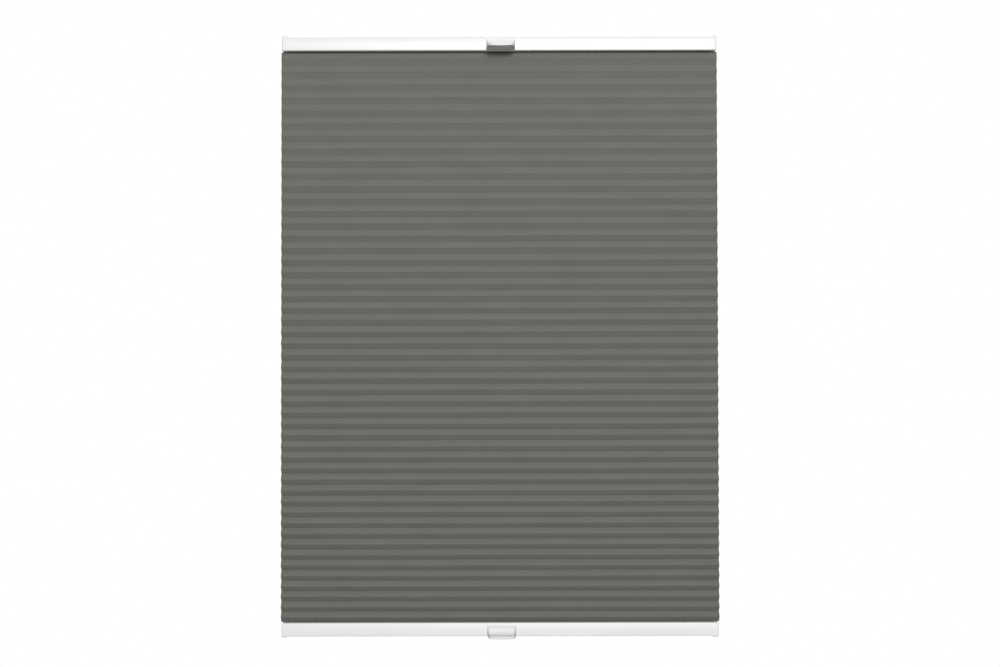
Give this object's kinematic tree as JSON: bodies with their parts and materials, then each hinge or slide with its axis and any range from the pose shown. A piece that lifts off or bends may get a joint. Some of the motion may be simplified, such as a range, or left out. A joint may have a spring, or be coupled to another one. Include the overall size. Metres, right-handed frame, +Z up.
{
  "type": "pleated blind",
  "caption": "Grey honeycomb pleated blind between two white rails with finger grips; the bottom rail slides up to stack the fabric.",
  "frame": {"origin": "middle of the top rail's upper face, on the line from which the tension cords carry the blind", "axes": "+X along the rails to the right as seen from the room, -Y towards the room, +Z up"},
  "size_m": [0.5, 0.0455, 0.6864],
  "materials": {
    "painted_rail": "white powder coat, satin",
    "cap_plastic": "moulded, satin",
    "grip_plastic": "moulded, satin",
    "strip_plastic": "extruded",
    "pleated_fabric": "fine spunlace polyester, matte",
    "guide_plastic": "moulded",
    "spring_steel": "drawn wire",
    "stopper_metal": "crimped",
    "cord_fibre": "braided polyester"
  },
  "bodies": {
    "top_rail_body": {"top_rail": "painted_rail", "honeycomb_fabric": "pleated_fabric", "top_fabric_strip": "strip_plastic", "top_grip": "grip_plastic", "top_cap_left": "cap_plastic", "top_cap_right": "cap_plastic", "top_cord_guide_left": "guide_plastic", "top_cord_guide_right": "guide_plastic", "tension_cord_left": "cord_fibre", "tension_cord_right": "cord_fibre", "spring_anchor_left": "guide_plastic", "spring_anchor_right": "guide_plastic", "tension_spring_left": "spring_steel", "tension_spring_right": "spring_steel", "spring_plug_left": "guide_plastic", "spring_plug_right": "guide_plastic"},
    "bottom_rail_body": {"bottom_rail": "painted_rail", "bottom_fabric_strip": "strip_plastic", "bottom_grip": "grip_plastic", "bottom_cap_left": "cap_plastic", "bottom_cap_right": "cap_plastic", "bottom_cord_guide_left": "guide_plastic", "bottom_cord_guide_right": "guide_plastic", "cord_stopper_left": "stopper_metal", "cord_stopper_right": "stopper_metal"}
  },
  "joints": [
    {"name": "bottom_rail_lift", "type": "slide", "parent": "top_rail_body", "child": "bottom_rail_body", "axis": [0, 0, 1], "range_m": [0, 0.6], "deforming": ["honeycomb_fabric", "tension_cord_left", "tension_cord_right"]}
  ]
}
